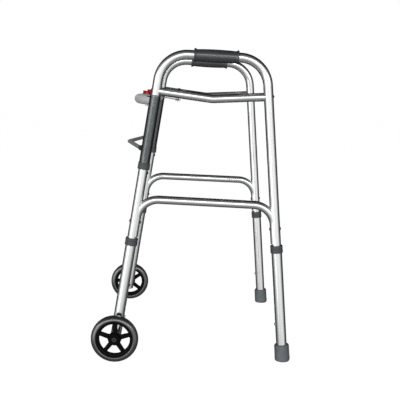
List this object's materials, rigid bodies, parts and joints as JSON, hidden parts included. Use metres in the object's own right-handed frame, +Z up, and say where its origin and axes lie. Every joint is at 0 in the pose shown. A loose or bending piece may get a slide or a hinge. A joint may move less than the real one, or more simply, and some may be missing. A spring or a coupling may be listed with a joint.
{
  "type": "walking frame",
  "caption": "Folding aluminium walking frame with wheels at the front, rubber feet at the rear, hand grips, and legs that slide for height",
  "frame": {"origin": "on the floor, at the middle of the footprint", "axes": "+Z up, +Y towards the open rear side where the user stands, +X towards the user's left"},
  "size_m": [0.5874, 0.5395, 0.832],
  "materials": {
    "anodised_tube": "satin",
    "crossbar_grey": "satin",
    "sleeve_grey": "textured",
    "collar_plastic": "matte",
    "grip_vinyl": "satin",
    "rivet_steel": "satin",
    "dark_steel": "satin",
    "spring_steel": "satin",
    "tip_rubber": "matte",
    "tyre_rubber": "matte",
    "hub_plastic": "satin",
    "button_red": "satin"
  },
  "bodies": {
    "front_brace": {"upper_crossbar": "crossbar_grey", "lower_crossbar": "crossbar_grey", "left_hinge_sleeve": "sleeve_grey", "left_sleeve_collar": "collar_plastic", "left_bar_socket": "collar_plastic", "left_latch_spring": "spring_steel", "right_hinge_sleeve": "sleeve_grey", "right_sleeve_collar": "collar_plastic", "right_bar_socket": "collar_plastic", "right_latch_spring": "spring_steel"},
    "left_side_frame": {"left_side_tube": "anodised_tube", "left_upper_brace": "anodised_tube", "left_lower_brace": "anodised_tube", "left_hand_grip": "grip_vinyl", "left_frame_rivets": "rivet_steel", "left_lock_plate": "dark_steel", "left_plate_rivet": "rivet_steel", "left_front_leaf_spring": "spring_steel", "left_rear_leaf_spring": "spring_steel"},
    "left_front_extension": {"left_front_extension": "anodised_tube", "left_front_collar": "collar_plastic", "left_front_end_cap": "collar_plastic", "left_axle_bolt": "rivet_steel", "left_axle_nut": "rivet_steel", "left_wheel_spacer": "collar_plastic"},
    "left_rear_extension": {"left_rear_extension": "anodised_tube", "left_rear_collar": "collar_plastic", "left_rear_tip": "tip_rubber"},
    "left_wheel": {"left_tyre": "tyre_rubber", "left_wheel_hub": "hub_plastic", "left_wheel_bushing": "collar_plastic"},
    "left_front_snap_button": {"left_front_snap_button": "spring_steel"},
    "left_rear_snap_button": {"left_rear_snap_button": "spring_steel"},
    "left_release_button": {"left_release_button": "button_red", "left_latch_pin": "spring_steel"},
    "right_side_frame": {"right_side_tube": "anodised_tube", "right_upper_brace": "anodised_tube", "right_lower_brace": "anodised_tube", "right_hand_grip": "grip_vinyl", "right_frame_rivets": "rivet_steel", "right_lock_plate": "dark_steel", "right_plate_rivet": "rivet_steel", "right_front_leaf_spring": "spring_steel", "right_rear_leaf_spring": "spring_steel"},
    "right_front_extension": {"right_front_extension": "anodised_tube", "right_front_collar": "collar_plastic", "right_front_end_cap": "collar_plastic", "right_axle_bolt": "rivet_steel", "right_axle_nut": "rivet_steel", "right_wheel_spacer": "collar_plastic"},
    "right_rear_extension": {"right_rear_extension": "anodised_tube", "right_rear_collar": "collar_plastic", "right_rear_tip": "tip_rubber"},
    "right_wheel": {"right_tyre": "tyre_rubber", "right_wheel_hub": "hub_plastic", "right_wheel_bushing": "collar_plastic"},
    "right_front_snap_button": {"right_front_snap_button": "spring_steel"},
    "right_rear_snap_button": {"right_rear_snap_button": "spring_steel"},
    "right_release_button": {"right_release_button": "button_red", "right_latch_pin": "spring_steel"}
  },
  "joints": [
    {"name": "left_fold", "type": "hinge", "parent": "front_brace", "child": "left_side_frame", "pos_m": [0.23827, -0.11829, 0.60954], "axis": [-0.0182, 0.1573, 0.9874], "range_deg": [0, 90]},
    {"name": "left_front_height", "type": "slide", "parent": "left_side_frame", "child": "left_front_extension", "axis": [-0.0182, 0.1573, 0.9874], "range_m": [-0.1524, 0]},
    {"name": "left_front_snap", "type": "slide", "parent": "left_side_frame", "child": "left_front_snap_button", "axis": [-0.0289, -0.9872, 0.1567], "range_m": [0, 0.0045], "stiffness_N_per_m": 900, "springref_m": -0.003, "deforming": ["left_front_leaf_spring"]},
    {"name": "left_rear_height", "type": "slide", "parent": "left_side_frame", "child": "left_rear_extension", "axis": [-0.0245, -0.0824, 0.9963], "range_m": [-0.1524, 0]},
    {"name": "left_rear_snap", "type": "slide", "parent": "left_side_frame", "child": "left_rear_snap_button", "axis": [0.0237, 0.9963, 0.083], "range_m": [0, 0.0045], "stiffness_N_per_m": 900, "springref_m": -0.003, "deforming": ["left_rear_leaf_spring"]},
    {"name": "left_wheel_spin", "type": "hinge", "parent": "left_front_extension", "child": "left_wheel", "pos_m": [0.27971, -0.20611, 0.06402], "axis": [0.9994, -0.0256, 0.0225], "continuous": true},
    {"name": "left_release", "type": "slide", "parent": "front_brace", "child": "left_release_button", "axis": [0.0182, -0.1573, -0.9874], "range_m": [0, 0.004], "stiffness_N_per_m": 1200, "springref_m": -0.003, "deforming": ["left_latch_spring"]},
    {"name": "right_fold", "type": "hinge", "parent": "front_brace", "child": "right_side_frame", "pos_m": [-0.23827, -0.11829, 0.60954], "axis": [-0.0182, -0.1573, -0.9874], "range_deg": [0, 70]},
    {"name": "right_front_height", "type": "slide", "parent": "right_side_frame", "child": "right_front_extension", "axis": [0.0182, 0.1573, 0.9874], "range_m": [-0.1524, 0]},
    {"name": "right_front_snap", "type": "slide", "parent": "right_side_frame", "child": "right_front_snap_button", "axis": [0.0289, -0.9872, 0.1567], "range_m": [0, 0.0045], "stiffness_N_per_m": 900, "springref_m": -0.003, "deforming": ["right_front_leaf_spring"]},
    {"name": "right_rear_height", "type": "slide", "parent": "right_side_frame", "child": "right_rear_extension", "axis": [0.0245, -0.0824, 0.9963], "range_m": [-0.1524, 0]},
    {"name": "right_rear_snap", "type": "slide", "parent": "right_side_frame", "child": "right_rear_snap_button", "axis": [-0.0237, 0.9963, 0.083], "range_m": [0, 0.0045], "stiffness_N_per_m": 900, "springref_m": -0.003, "deforming": ["right_rear_leaf_spring"]},
    {"name": "right_wheel_spin", "type": "hinge", "parent": "right_front_extension", "child": "right_wheel", "pos_m": [-0.27971, -0.20611, 0.06402], "axis": [-0.9994, -0.0256, 0.0225], "continuous": true},
    {"name": "right_release", "type": "slide", "parent": "front_brace", "child": "right_release_button", "axis": [-0.0182, -0.1573, -0.9874], "range_m": [0, 0.004], "stiffness_N_per_m": 1200, "springref_m": -0.003, "deforming": ["right_latch_spring"]}
  ]
}
